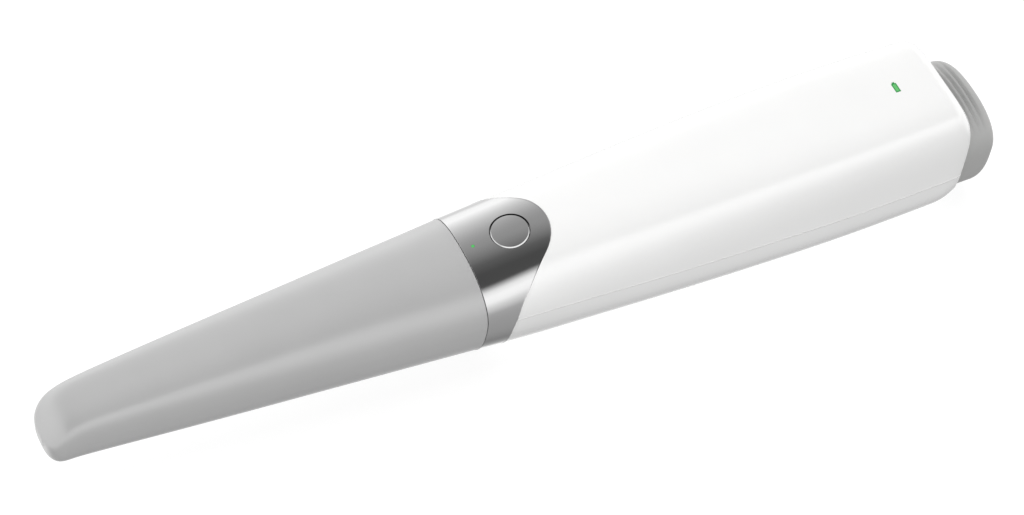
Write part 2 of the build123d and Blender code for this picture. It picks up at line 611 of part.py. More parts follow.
# ---- optics ------------------------------------------------------------------------
CARRIER_FRONT, CARRIER_THICKNESS = 99.0, 2.5
LENS_SPREAD, CAMERA_LENS_RADIUS, PROJECTOR_LENS_RADIUS = 7.4, 3.0, 3.6
LENS_FRONT, GLASS_THICKNESS, GLASS_MARGIN = 90.0, 1.2, 0.6
CAMERA_REAR, PROJECTOR_REAR = 113.0, 117.0
OPTICS_BOARD_AT, OPTICS_BOARD_THICKNESS = 118.2, 1.0


def lens_places(*offsets):
    return Locations(*[(offset, OPTICAL_HEIGHT) for offset in offsets])


with BuildPart() as optics_carrier:
    add(hull([CARRIER_FRONT, CARRIER_FRONT + CARRIER_THICKNESS], BORE_INSET + 0.5))
    with BuildSketch(Plane.YZ.offset(at(CARRIER_FRONT))):
        with lens_places(-LENS_SPREAD, LENS_SPREAD):
            Circle(CAMERA_LENS_RADIUS + 0.05)
        with lens_places(0):
            Circle(PROJECTOR_LENS_RADIUS + 0.05)
    extrude(amount=CARRIER_THICKNESS, mode=Mode.SUBTRACT)
save(optics_carrier, "optics_carrier")


def camera_module(side):
    """Lens barrel with a pocket for its front glass, and the sensor block behind it."""
    carrier_rear = CARRIER_FRONT + CARRIER_THICKNESS
    with BuildPart() as module:
        with BuildSketch(Plane.YZ.offset(at(LENS_FRONT))):
            with lens_places(side * LENS_SPREAD):
                Circle(CAMERA_LENS_RADIUS)
        extrude(amount=carrier_rear - LENS_FRONT)
        with BuildSketch(Plane.YZ.offset(at(carrier_rear))):
            with lens_places(side * LENS_SPREAD):
                Rectangle(6.4, 9.6)
        extrude(amount=CAMERA_REAR - carrier_rear)
        with BuildSketch(Plane.YZ.offset(at(LENS_FRONT))):
            with lens_places(side * LENS_SPREAD):
                Circle(CAMERA_LENS_RADIUS - GLASS_MARGIN)
        extrude(amount=GLASS_THICKNESS + 0.4, mode=Mode.SUBTRACT)
    return module


camera_left, camera_right = camera_module(-1), camera_module(1)
save(camera_left, "camera_left")
save(camera_right, "camera_right")

with BuildPart() as camera_lenses:
    with BuildSketch(Plane.YZ.offset(at(LENS_FRONT + 0.4))):
        with lens_places(-LENS_SPREAD, LENS_SPREAD):
            Circle(CAMERA_LENS_RADIUS - GLASS_MARGIN)
    extrude(amount=GLASS_THICKNESS)
save(camera_lenses, "camera_lenses")

with BuildPart() as projector:
    with BuildSketch(Plane.YZ.offset(at(LENS_FRONT))):
        with lens_places(0):
            Circle(PROJECTOR_LENS_RADIUS)
    extrude(amount=CARRIER_FRONT + CARRIER_THICKNESS - LENS_FRONT)
    with BuildSketch(Plane.YZ.offset(at(CARRIER_FRONT + CARRIER_THICKNESS))):
        with lens_places(0):
            Rectangle(7.6, 15)
    extrude(amount=PROJECTOR_REAR - CARRIER_FRONT - CARRIER_THICKNESS)
    with BuildSketch(Plane.YZ.offset(at(LENS_FRONT))):
        with lens_places(0):
            Circle(PROJECTOR_LENS_RADIUS - GLASS_MARGIN)
    extrude(amount=GLASS_THICKNESS + 0.4, mode=Mode.SUBTRACT)
save(projector, "projector")

with BuildPart() as projector_lens:
    with BuildSketch(Plane.YZ.offset(at(LENS_FRONT + 0.4))):
        with lens_places(0):
            Circle(PROJECTOR_LENS_RADIUS - GLASS_MARGIN)
    extrude(amount=GLASS_THICKNESS)
save(projector_lens, "projector_lens")

with BuildPart() as optics_board:
    add(rounded_bar(OPTICS_BOARD_AT, OPTICS_BOARD_AT + OPTICS_BOARD_THICKNESS, 20, 14, OPTICAL_HEIGHT, 1))
save(optics_board, "optics_board")

HEATSINK_FRONT, HEATSINK_REAR = 121.0, 133.0
with BuildPart() as projector_heatsink:
    add(plate(HEATSINK_FRONT, HEATSINK_FRONT + 2, 8, 12.4, 26.6))
    with BuildSketch(Plane.YZ.offset(at(HEATSINK_FRONT + 2))):
        with Locations((0, 23.2)):
            with GridLocations(2.4, 0, 6, 1):
                Rectangle(0.9, 6.4)
    extrude(amount=HEATSINK_REAR - HEATSINK_FRONT - 2)
save(projector_heatsink, "projector_heatsink")

# flat ribbon from the optics board to the main board's connector
RIBBON_THICKNESS, RIBBON_WIDTH = 0.25, 9.0
ribbon_x = at(OPTICS_BOARD_AT + OPTICS_BOARD_THICKNESS) + RIBBON_THICKNESS / 2 + 0.02
ribbon_level = board_face + 1.3
with BuildPart() as flex_cable:
    with BuildSketch(Plane.XZ.offset(-RIBBON_WIDTH / 2)):
        with BuildLine():
            FilletPolyline((ribbon_x, 16.6), (ribbon_x, 12.1), (at(126.0), 12.1), (at(131.5), ribbon_level),
                           (at(144.8), ribbon_level), radius=0.35)
            offset(amount=RIBBON_THICKNESS / 2, side=Side.BOTH)
        make_face()
    extrude(amount=RIBBON_WIDTH)
save(flex_cable, "flex_cable")

# ---- battery bay, contacts and antenna -------------------------------------------
with BuildPart() as battery_bay:
    add(rounded_bar(BAY_FRONT, BAY_REAR, BAY_WIDTH, BAY_HEIGHT, BAY_MIDDLE, BAY_RADIUS))
    add(rounded_bar(BAY_FRONT, BAY_REAR, BAY_WIDTH - 2 * BAY_WALL, BAY_HEIGHT - 2 * BAY_WALL, BAY_MIDDLE,
                    BAY_RADIUS - BAY_WALL), mode=Mode.SUBTRACT)
save(battery_bay, "battery_bay")

CONTACT_PITCH, CONTACT_COUNT, PIN_RADIUS = 4.5, 4, 0.8
with BuildPart() as contact_block:
    add(rounded_bar(BAY_FRONT - 2.8, BAY_FRONT, BAY_WIDTH, BAY_HEIGHT, BAY_MIDDLE, BAY_RADIUS))
    with BuildSketch(Plane.YZ.offset(at(BAY_FRONT))):
        with Locations((0, BAY_MIDDLE)):
            with GridLocations(CONTACT_PITCH, 0, CONTACT_COUNT, 1):
                Circle(PIN_RADIUS)
    extrude(amount=-2.8, mode=Mode.SUBTRACT)
save(contact_block, "contact_block")

CASE_FRONT, PIN_REACH = BAY_FRONT + 1.4, 0.9
with BuildPart() as contact_pins:
    with BuildSketch(Plane.YZ.offset(at(BAY_FRONT + PIN_REACH - 0.8))):
        with Locations((0, BAY_MIDDLE)):
            with GridLocations(CONTACT_PITCH, 0, CONTACT_COUNT, 1):
                Circle(PIN_RADIUS - 0.25)
    extrude(amount=0.8)
    with BuildSketch(Plane.YZ.offset(at(BAY_FRONT - 3.4))):
        with Locations((0, BAY_MIDDLE)):
            with GridLocations(CONTACT_PITCH, 0, CONTACT_COUNT, 1):
                Circle(PIN_RADIUS)
    extrude(amount=3.4 + PIN_REACH - 0.8)
save(contact_pins, "contact_pins")

with BuildPart() as antenna:
    add(plate(210.0, 240.0, 6.0, bay_top, bay_top + 0.4))
    with BuildSketch(Plane.XY.offset(bay_top)):
        with Locations((at(223.0), 1.5), (at(231.0), -1.5)):
            Rectangle(1.2, 9.4)
    extrude(amount=0.4, mode=Mode.SUBTRACT)
save(antenna, "antenna")

# ---- battery pack and end cap -----------------------------------------------------
CASE_WIDTH, CASE_HEIGHT, CASE_RADIUS, CASE_WALL = 28.8, 26.4, 7.3, 1.2
CAP_FRONT = 256.4
CAP_WALL, CAP_ROUND_LENGTH, CAP_ROUND_DEPTH = 2.0, 4.7, 3.5
GROOVE_WIDTH, GROOVE_DEPTH, GROOVE_PITCH, GROOVE_FIRST, GROOVE_FADE = 1.0, 0.7, 1.85, 270.65, 0.06
SEAL_FRONT, SEAL_LENGTH, SEAL_GROOVE = 259.0, 1.8, 0.8

with BuildPart() as battery_case:
    add(rounded_bar(CASE_FRONT, CAP_FRONT, CASE_WIDTH, CASE_HEIGHT, BAY_MIDDLE, CASE_RADIUS))
    add(rounded_bar(CASE_FRONT + CASE_WALL, CAP_FRONT, CASE_WIDTH - 2 * CASE_WALL,
                    CASE_HEIGHT - 2 * CASE_WALL, BAY_MIDDLE, CASE_RADIUS - CASE_WALL), mode=Mode.SUBTRACT)
    with BuildSketch(Plane.YZ.offset(at(CASE_FRONT))):
        with Locations((0, BAY_MIDDLE)):
            with GridLocations(CONTACT_PITCH, 0, CONTACT_COUNT, 1):
                Rectangle(2.4, 5.0)
    extrude(amount=0.6, mode=Mode.SUBTRACT)
save(battery_case, "battery_case")

with BuildPart() as battery_pads:
    with BuildSketch(Plane.YZ.offset(at(CASE_FRONT + 0.2))):
        with Locations((0, BAY_MIDDLE)):
            with GridLocations(CONTACT_PITCH, 0, CONTACT_COUNT, 1):
                Rectangle(2.3, 4.9)
    extrude(amount=0.4)
save(battery_pads, "battery_pads")

CELL_WIDTH, CELL_HEIGHT, CELL_LENGTH = 23.0, 10.6, 44.0
with BuildPart() as battery_cells:
    with BuildSketch(Plane.YZ.offset(at(CASE_FRONT + CASE_WALL + 1.0))):
        with Locations((0, BAY_MIDDLE - CELL_HEIGHT / 2 - 0.3), (0, BAY_MIDDLE + CELL_HEIGHT / 2 + 0.3)):
            RectangleRounded(CELL_WIDTH, CELL_HEIGHT, 3.5)
    extrude(amount=CELL_LENGTH)
save(battery_cells, "battery_cells")

cells_rear = CASE_FRONT + CASE_WALL + 1.0 + CELL_LENGTH
with BuildPart() as protection_board:
    add(rounded_bar(cells_rear + 1.5, cells_rear + 2.5, 22, 18, BAY_MIDDLE, 2))
save(protection_board, "protection_board")

cap_straight = OVERALL_LENGTH - CAP_ROUND_LENGTH


def cap_band(start, end, outer, inner, lower_top=0.0):
    """Ring between two growths of the cap's section; the inner one may have its top lowered."""
    with BuildPart() as band:
        add(cap_bar(start, end, outer))
        add(cap_bar(start, end, inner, lower_top), mode=Mode.SUBTRACT)
    return band.part


def grip_groove(start):
    """Shallow groove across the cap's upper side, fading out towards the widest line."""
    with BuildPart() as groove:
        add(cap_band(start, start + GROOVE_WIDTH, 1.0, GROOVE_FADE, GROOVE_DEPTH + GROOVE_FADE))
        with BuildSketch(Plane.XY.offset(CAP_SIDE)):
            Rectangle(2 * OVERALL_LENGTH, 100)
        extrude(amount=40, mode=Mode.INTERSECT)
    return groove.part


with BuildPart() as end_cap:
    add(cap_bar(CAP_FRONT, cap_straight))
    rounding = [math.sin(math.radians(a)) for a in (0, 20, 40, 58, 74, 90)]
    loft(sections=[cap_section(cap_straight + CAP_ROUND_LENGTH * u,
                               -CAP_ROUND_DEPTH * (1 - math.sqrt(1 - u ** 2))) for u in rounding])
    add(cap_bar(CAP_FRONT, cap_straight, -CAP_WALL), mode=Mode.SUBTRACT)
    for i in range(3):
        add(grip_groove(GROOVE_FIRST + i * GROOVE_PITCH), mode=Mode.SUBTRACT)
    add(cap_band(SEAL_FRONT - 0.05, SEAL_FRONT + SEAL_LENGTH + 0.05, 1.0, -SEAL_GROOVE), mode=Mode.SUBTRACT)
save(end_cap, "end_cap")

with BuildPart() as cap_seal:
    add(cap_band(SEAL_FRONT, SEAL_FRONT + SEAL_LENGTH, 0.0, -SEAL_GROOVE))
save(cap_seal, "cap_seal")

with BuildPart() as cap_base:
    add(cap_bar(CAP_FRONT, CAP_FRONT + 1.8, -CAP_WALL - 0.1))
save(cap_base, "cap_base")
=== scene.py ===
"""Looks of the wireless intraoral camera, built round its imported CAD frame.

Lengths in this script are millimetres, in the CAD's frame, and MM turns them into metres when a mesh
is made. The visible shells are built from the same outlines as the CAD's skin, on a finer grid, with
rounded edges. Every piece inside keeps its CAD shape and gets its own material.
"""

import json
import math

import bpy
import bmesh
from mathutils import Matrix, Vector


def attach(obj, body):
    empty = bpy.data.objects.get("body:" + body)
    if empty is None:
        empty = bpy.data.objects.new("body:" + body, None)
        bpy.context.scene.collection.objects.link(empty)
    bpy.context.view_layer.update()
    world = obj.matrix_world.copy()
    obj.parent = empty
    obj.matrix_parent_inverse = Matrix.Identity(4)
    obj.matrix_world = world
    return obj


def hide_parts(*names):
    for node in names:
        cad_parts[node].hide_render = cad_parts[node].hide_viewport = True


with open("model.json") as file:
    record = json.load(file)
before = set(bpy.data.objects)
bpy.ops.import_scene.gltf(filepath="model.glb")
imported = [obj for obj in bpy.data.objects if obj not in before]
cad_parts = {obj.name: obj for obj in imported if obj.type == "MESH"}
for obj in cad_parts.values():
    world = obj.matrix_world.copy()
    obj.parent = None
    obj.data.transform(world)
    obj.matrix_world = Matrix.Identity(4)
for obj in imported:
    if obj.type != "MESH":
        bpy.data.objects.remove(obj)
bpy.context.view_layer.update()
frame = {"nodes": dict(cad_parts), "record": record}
nodes = frame["nodes"]

# ---- the body's outlines, as in the CAD --------------------------------------------------
MM = 0.001
OVERALL_LENGTH = 278.6
SEAM = 118.7                # where the removable tip meets the collar
COLLAR_REAR, RING_HEIGHT, RING_LEAN = 126.4, 15.0, 0.04
BUTTON_AT = 132.6
TONGUE_AT, TONGUE_RADIUS = 131.1, 12.3
TONGUE_ROOT = (127.5, 18.9)
TONGUE_SIDE = [(126.6, 20.0), (127.0, 23.2), (127.6, 26.3), (128.4, 29.0), (129.6, 31.3),
               (131.1, 33.1), (133.2, 35.0), (136.5, 37.2), (150.0, 40.0)]
HOUSING_REAR = 266.6
CAVITY_REAR = 255.0

HALF_WIDTH = [(0, 8.2), (60, 13.2), (SEAM, 17.8), (145, 18.6), (172, 19.45), (200, 19.85), (232, 19.7),
              (270, 18.2)]
TOP_LINE = [(0, 29.8), (30, 32.0), (60, 34.1), (90, 36.1), (SEAM, 37.4), (140, 39.9), (170, 41.7),
            (200, 43.2), (232, 44.0), (270, 44.2)]
BELLY_LINE = [(0, 12.4), (60, 6.9), (SEAM, 1.7), (128, 0.75), (140, -0.25), (150, -0.25), (270, -0.25)]
SIDE_FRONT, SIDE_SEAM, SIDE_REAR = 22.6, 25.0, 18.0
TOP_POWER = [(0, 3.1), (SEAM, 2.3), (256, 5.2), (270, 5.2)]
BELLY_POWER = [(0, 2.7), (SEAM, 2.15), (256, 3.05), (270, 3.05)]
CREASE_INSET, CREASE_DEPTH = 0.35, 4.0
NOSE_HEIGHT, NOSE_SLOPE, NOSE_BLEND = 21.5, 1.4, 6.0
NOSE_ROUND, NOSE_POWER = 6.3, 2.8
NOSE_LIP, NOSE_LIP_LENGTH = 4.5, 3.5
REAR_ROUND = 6.0
REAR_DROP_TOP, REAR_DROP_SIDE, REAR_RISE_BELLY = 7.0, 0.7, 6.0
TIP_WALL, SHELL_WALL = 1.5, 1.8
CAP_HALF_WIDTH, CAP_TOP, CAP_BELLY, CAP_SIDE = 16.8, 33.4, 3.0, 21.8
CAP_TOP_POWER, CAP_BELLY_POWER = 2.3, 2.9
CAP_FRONT, CAP_WALL, CAP_ROUND_LENGTH, CAP_ROUND_DEPTH = 256.4, 2.0, 4.7, 3.5
BORE_GAP = 0.3


def at(distance):
    """X of a place given by its distance from the front of the tip."""
    return distance - OVERALL_LENGTH / 2


def along(line, distance):
    """Value of an outline at a distance, by a smooth curve through its points."""
    last = len(line) - 1

    def slope(i):
        before, after = line[max(i - 1, 0)], line[min(i + 1, last)]
        return (after[1] - before[1]) / (after[0] - before[0])

    i = 0
    while i < last - 1 and distance > line[i + 1][0]:
        i += 1
    (x0, y0), (x1, y1) = line[i], line[i + 1]
    span = x1 - x0
    t = (distance - x0) / span
    rise = slope(i) * span * (t ** 3 - 2 * t ** 2 + t) + slope(i + 1) * span * (t ** 3 - t ** 2)
    return y0 * (2 * t ** 3 - 3 * t ** 2 + 1) + y1 * (3 * t ** 2 - 2 * t ** 3) + rise


def side_height(distance):
    """Height of the widest line."""
    if distance < SEAM:
        return SIDE_FRONT + (SIDE_SEAM - SIDE_FRONT) * distance / SEAM
    return SIDE_SEAM + (SIDE_REAR - SIDE_SEAM) * (distance - SEAM) / (270 - SEAM)


def skin(distance):
    """Half-width, top, belly, widest height and the two powers of the outer skin."""
    wide = along(HALF_WIDTH, distance)
    top = along(TOP_LINE, distance)
    belly = along(BELLY_LINE, distance)
    side = side_height(distance)
    share = (side - belly) / (top - belly)
    if distance < 60:
        front = max(NOSE_HEIGHT + NOSE_SLOPE * distance - belly, 0.1)
        height = (front ** -NOSE_BLEND + (top - belly) ** -NOSE_BLEND) ** (-1 / NOSE_BLEND)
        ahead = max(0.0, 1 - (distance + 0.15) / NOSE_ROUND)
        wide *= (1 - ahead ** NOSE_POWER) ** (1 / NOSE_POWER)
        lip = max(0.0, 1 - distance / NOSE_LIP_LENGTH)
        top = belly + height
        belly += NOSE_LIP * (1 - math.sqrt(1 - lip ** 2))
        side = belly + min(share, 0.75) * (top - belly)
    behind = (distance - (HOUSING_REAR + 0.5 - REAR_ROUND)) / REAR_ROUND
    if behind > 0:
        pull = 1 - math.sqrt(1 - min(behind, 1) ** 2)
        wide -= REAR_DROP_SIDE * pull
        top -= REAR_DROP_TOP * pull
        belly += REAR_RISE_BELLY * pull
    return wide, top, belly, side, along(TOP_POWER, distance), along(BELLY_POWER, distance)


def skin_point(distance, angle, inset=0.0, ahead=0.0):
    """Point of the skin at an angle: 0 is the +Y side, a quarter turn is the top."""
    wide, top, belly, side, top_power, belly_power = skin(distance - ahead)
    wide, top, belly = wide - inset, top - inset, belly + inset
    side = min(side, belly + 0.75 * (top - belly))
    c, s = math.cos(angle), math.sin(angle)
    power = top_power if s >= 0 else belly_power
    reach = (abs(c) ** power + abs(s) ** power) ** (-1 / power)
    height = (top - side) if s >= 0 else (side - belly)
    depth = max(0.0, -height * reach * s)
    step_in = CREASE_INSET * (1 - math.exp(-depth / CREASE_DEPTH))
    across = max((wide * reach - step_in) * abs(c), 0.0)
    return Vector((at(distance), math.copysign(across, c), max(side + height * reach * s, inset)))


def skin_top(distance, y):
    """Height of the skin's upper side at a place seen from above."""
    wide, top, _, side, power, _ = skin(distance)
    return side + (top - side) * max(1 - abs(y / wide) ** power, 0.0) ** (1 / power)


def cap_point(distance, angle, grow=0.0, lower=0.0):
    """Point of the battery's end cap, as skin_point; lower takes the upper side down, most at the top."""
    c, s = math.cos(angle), math.sin(angle)
    power = CAP_TOP_POWER if s >= 0 else CAP_BELLY_POWER
    reach = (abs(c) ** power + abs(s) ** power) ** (-1 / power)
    height = (CAP_TOP + grow - CAP_SIDE) if s >= 0 else (CAP_SIDE - CAP_BELLY + grow)
    return Vector((at(distance), (CAP_HALF_WIDTH + grow) * reach * c,
                   CAP_SIDE + height * reach * s - lower * max(s, 0.0)))


def in_cap(point, grow):
    """Below 1 where a point lies inside the end cap's section, grown all round."""
    up = point.z - CAP_SIDE
    power = CAP_TOP_POWER if up >= 0 else CAP_BELLY_POWER
    height = (CAP_TOP + grow - CAP_SIDE) if up >= 0 else (CAP_SIDE - CAP_BELLY + grow)
    return abs(point.y / (CAP_HALF_WIDTH + grow)) ** power + abs(up / height) ** power


def below(line, value):
    """Distance at which a rising list of (distance, height) reaches a height."""
    if value <= line[0][1]:
        return 0.0
    for (d0, z0), (d1, z1) in zip(line, line[1:]):
        if value <= z1:
            return d0 + (d1 - d0) * (value - z0) / (z1 - z0)
    return line[-1][0]


def tongue_edge(point):
    """Distance of the collar's rear edge at a point of the skin: the ring, or the tongue beyond it."""
    ring = COLLAR_REAR + RING_LEAN * (point.z - RING_HEIGHT)
    y = abs(point.y)
    root_x, root_y = TONGUE_ROOT[0] - TONGUE_AT, TONGUE_ROOT[1]
    angle = math.atan2(root_y, root_x) - math.acos(TONGUE_RADIUS / math.hypot(root_x, root_y))
    tangent = (TONGUE_AT + TONGUE_RADIUS * math.cos(angle), TONGUE_RADIUS * math.sin(angle))
    if y < tangent[1]:
        plan = TONGUE_AT + math.sqrt(TONGUE_RADIUS ** 2 - y ** 2)
    else:
        share = (y - tangent[1]) / (root_y - tangent[1])
        plan = tangent[0] + (TONGUE_ROOT[0] - tangent[0]) * share
    return max(ring, min(plan, below(TONGUE_SIDE, point.z)))


def collar_rear(angle):
    """Distance along the body at which the collar ends, on one line of the skin."""
    distance = COLLAR_REAR
    for _ in range(60):
        distance += 0.5 * (tongue_edge(skin_point(distance, angle)) - distance)
    return distance


def housing_rear(angle):
    """Distance along the body at which the housing meets the end cap's bore."""
    low, high = 258.0, HOUSING_REAR
    for _ in range(40):
        middle = (low + high) / 2
        if in_cap(skin_point(middle, angle), BORE_GAP) > 1:
            low = middle
        else:
            high = middle
    return (low + high) / 2


# ---- mesh work ----------------------------------------------------------------------------
def make_object(name, points, faces, sharp=35):
    """Mesh object from points in millimetres, shaded smooth except at sharp corners."""
    mesh = bpy.data.meshes.new(name)
    mesh.from_pydata([p * MM for p in points], [], faces)
    mesh.validate()
    made = bpy.data.objects.new(name, mesh)
    bpy.context.scene.collection.objects.link(made)
    work = bmesh.new()
    work.from_mesh(mesh)
    bmesh.ops.remove_doubles(work, verts=work.verts, dist=1e-7)
    bmesh.ops.recalc_face_normals(work, faces=work.faces)
    work.to_mesh(mesh)
    work.free()
    smooth_shade(made, sharp)
    return made


def smooth_shade(made, sharp=35):
    """Smooth shading, with sharp edges where faces meet at more than so many degrees."""
    for face in made.data.polygons:
        face.use_smooth = True
    made.data.set_sharp_from_angle(angle=math.radians(sharp))


def grid_faces(rows, columns, closed):
    """Quads of a grid stored row by row; closed joins the last column to the first."""
    faces = []
    for i in range(rows - 1):
        for j in range(columns if closed else columns - 1):
            k = (j + 1) % columns
            faces.append((i * columns + j, (i + 1) * columns + j, (i + 1) * columns + k, i * columns + k))
    return faces


def vertex_normals(points, faces):
    """Mean face normal at each point."""
    normals = [Vector() for _ in points]
    for face in faces:
        a, b, c, d = (points[i] for i in (face + face[:1])[:4])
        normal = (c - a).cross(d - b)
        for i in face:
            normals[i] += normal
    return [n.normalized() for n in normals]


def thick_shell(name, outer, inner, faces, edge_round=0.12, steps=3):
    """Closed shell from a skin grid and the matching inner grid, with rounded outer edges.

    Each open edge of the grid gets a rounding that grows it by edge_round."""
    normals = vertex_normals(outer, faces)
    directed = set()
    for face in faces:
        for a, b in zip(face, face[1:] + face[:1]):
            directed.add((a, b))
    rim = [(a, b) for a, b in directed if (b, a) not in directed]
    outward = {}
    for a, b in rim:
        way = (outer[b] - outer[a]).normalized()
        for i in (a, b):
            outward.setdefault(i, []).append(way.cross(normals[i]).normalized())
    points = list(outer)
    rings = {i: [i] for i in outward}
    spread = {}
    for i, sides in outward.items():
        total = sum(sides, Vector())
        total *= min(2 / max(total.length_squared, 1e-9), 1.0)
        spread[i] = total
        for k in range(1, steps + 1):
            turn = math.radians(90) * k / steps
            rings[i].append(len(points))
            points.append(outer[i] + total * edge_round * math.sin(turn)
                          - normals[i] * edge_round * (1 - math.cos(turn)))
    inner_start = len(points)
    for i, p in enumerate(inner):
        points.append(p + spread[i] * edge_round if i in spread else p.copy())
    for i in rings:
        rings[i].append(inner_start + i)
    made = list(faces)
    for a, b in rim:
        for k in range(steps + 1):
            made.append((rings[b][k], rings[a][k], rings[a][k + 1], rings[b][k + 1]))
    made += [tuple(inner_start + i for i in reversed(face)) for face in faces]
    return make_object(name, points, made)


def skin_shell(name, angles, closed, front, rear, rows, spacing, inner, edge_round):
    """Shell over part of the skin: front(angle) and rear(angle) bound it, inner(i, d, angle) is inside."""
    outer_points, inner_points = [], []
    edges = [(front(a), rear(a)) for a in angles]
    for i in range(rows):
        share = spacing(i / (rows - 1))
        for angle, (start, end) in zip(angles, edges):
            distance = start + (end - start) * share
            outer_points.append(skin_point(distance, angle))
            inner_points.append(inner(share, start, end, angle))
    faces = grid_faces(rows, len(angles), closed)
    return thick_shell(name, outer_points, inner_points, faces, edge_round)


def cut(piece, outline, low, high, place=lambda x, y, z: Vector((x, y, z))):
    """Cuts a straight hole through a piece; place turns its (x, y) and heights into points."""
    count = len(outline)
    points = [place(x, y, z) for z in (low, high) for x, y in outline]
    faces = [tuple(reversed(range(count))), tuple(range(count, 2 * count))]
    faces += [(i, (i + 1) % count, count + (i + 1) % count, count + i) for i in range(count)]
    cutter = make_object(piece.name + "_cutter", points, faces)
    modifier = piece.modifiers.new("hole", "BOOLEAN")
    modifier.operation = "DIFFERENCE"
    modifier.solver = "EXACT"
    modifier.object = cutter
    evaluated = piece.evaluated_get(bpy.context.evaluated_depsgraph_get())
    mesh = bpy.data.meshes.new_from_object(evaluated)
    piece.modifiers.clear()
    piece.data = mesh
    bpy.data.objects.remove(cutter)
    smooth_shade(piece)


def circle(x, y, radius, count):
    """Points round a circle."""
    return [(x + radius * math.cos(math.tau * i / count), y + radius * math.sin(math.tau * i / count))
            for i in range(count)]


def round_rectangle(x, y, length, width, radius, steps=8):
    """Points round a rectangle with rounded corners."""
    points = []
    for corner, (sx, sy) in enumerate(((1, 1), (-1, 1), (-1, -1), (1, -1))):
        for i in range(steps + 1):
            turn = math.radians(90) * (corner + i / steps)
            points.append((x + sx * (length / 2 - radius) + radius * math.cos(turn),
                           y + sy * (width / 2 - radius) + radius * math.sin(turn)))
    return points


# ---- materials ----------------------------------------------------------------------------
def new_material(name):
    """Empty node material: its tree, shader node and object coordinates."""
    material = bpy.data.materials.new(name)
    material.use_nodes = True
    tree = material.node_tree
    shader = tree.nodes["Principled BSDF"]
    coordinates = tree.nodes.new("ShaderNodeTexCoord")
    return material, tree, shader, coordinates.outputs["Object"]


def noise(tree, where, scale, detail=3.0, stretch=(1, 1, 1)):
    """Noise over the object; scale is in waves per metre, stretch differs by direction."""
    mapping = tree.nodes.new("ShaderNodeMapping")
    mapping.inputs["Scale"].default_value = stretch
    tree.links.new(where, mapping.inputs["Vector"])
    node = tree.nodes.new("ShaderNodeTexNoise")
    node.inputs["Scale"].default_value = scale
    node.inputs["Detail"].default_value = detail
    tree.links.new(mapping.outputs["Vector"], node.inputs["Vector"])
    return node.outputs["Fac"]


def ramp(tree, value, stops):
    """Colour ramp with stops of (place, colour)."""
    node = tree.nodes.new("ShaderNodeValToRGB")
    elements = node.color_ramp.elements
    while len(elements) < len(stops):
        elements.new(0.5)
    for element, (place, colour) in zip(elements, stops):
        element.position = place
        element.color = (*colour, 1)
    tree.links.new(value, node.inputs["Fac"])
    return node.outputs["Color"]


def blended(tree, share, first, second):
    """Colour from a texture, blended towards a plain colour."""
    mix = tree.nodes.new("ShaderNodeMix")
    mix.data_type = "RGBA"
    tree.links.new(share, mix.inputs["Factor"])
    tree.links.new(first, mix.inputs["A"])
    mix.inputs["B"].default_value = (*second, 1)
    return mix.outputs["Result"]


def spread_value(tree, value, low, high):
    """Value from a texture, mapped to a range."""
    node = tree.nodes.new("ShaderNodeMapRange")
    node.inputs["From Min"].default_value = 0.3
    node.inputs["From Max"].default_value = 0.7
    node.inputs["To Min"].default_value = low
    node.inputs["To Max"].default_value = high
    tree.links.new(value, node.inputs["Value"])
    return node.outputs["Result"]


def surface(name, colour, drift=0.03, roughness=(0.3, 0.4), metallic=0.0, grain=2500, bump=0.05,
            depth=0.00004, blotch=60, coat=0.0, coat_roughness=0.1, specular=0.5, stretch=(1, 1, 1)):
    """Moulded, cast or turned surface: colour drifts a little, and a fine grain sets gloss and relief."""
    material, tree, shader, where = new_material(name)
    light = [min(c * (1 + drift), 1.0) for c in colour]
    dark = [c * (1 - drift) for c in colour]
    cloud = noise(tree, where, blotch, 4.0)
    tree.links.new(ramp(tree, cloud, [(0.35, dark), (0.65, light)]), shader.inputs["Base Color"])
    fine = noise(tree, where, grain, 2.0, stretch)
    tree.links.new(spread_value(tree, fine, *roughness), shader.inputs["Roughness"])
    relief = tree.nodes.new("ShaderNodeBump")
    relief.inputs["Strength"].default_value = bump
    relief.inputs["Distance"].default_value = depth
    tree.links.new(fine, relief.inputs["Height"])
    tree.links.new(relief.outputs["Normal"], shader.inputs["Normal"])
    shader.inputs["Metallic"].default_value = metallic
    shader.inputs["Coat Weight"].default_value = coat
    shader.inputs["Coat Roughness"].default_value = coat_roughness
    shader.inputs["Specular IOR Level"].default_value = specular
    return material


def paint_groove_shade(material, darkest):
    """Darkens a finish's colour where the mesh's groove value is high: painted shade in the grooves."""
    tree = material.node_tree
    shader = tree.nodes["Principled BSDF"]
    colour = shader.inputs["Base Color"].links[0].from_socket
    groove = tree.nodes.new("ShaderNodeAttribute")
    groove.attribute_name = "groove"
    mix = tree.nodes.new("ShaderNodeMix")
    mix.data_type = "RGBA"
    mix.blend_type = "MULTIPLY"
    tree.links.new(groove.outputs["Fac"], mix.inputs["Factor"])
    tree.links.new(colour, mix.inputs["A"])
    mix.inputs["B"].default_value = (darkest, darkest, darkest, 1)
    tree.links.new(mix.outputs["Result"], shader.inputs["Base Color"])


def glass(name, colour, roughness):
    """Coated optical glass, with a faint smear in its gloss."""
    material, tree, shader, where = new_material(name)
    cloud = noise(tree, where, 300, 2.0)
    tree.links.new(ramp(tree, cloud, [(0.3, colour), (0.7, [c * 0.94 for c in colour])]),
                   shader.inputs["Base Color"])
    tree.links.new(spread_value(tree, cloud, roughness, roughness * 2.5), shader.inputs["Roughness"])
    shader.inputs["Transmission Weight"].default_value = 0.9
    shader.inputs["IOR"].default_value = 1.5
    shader.inputs["Coat Weight"].default_value = 0.5
    shader.inputs["Coat Roughness"].default_value = 0.03
    return material


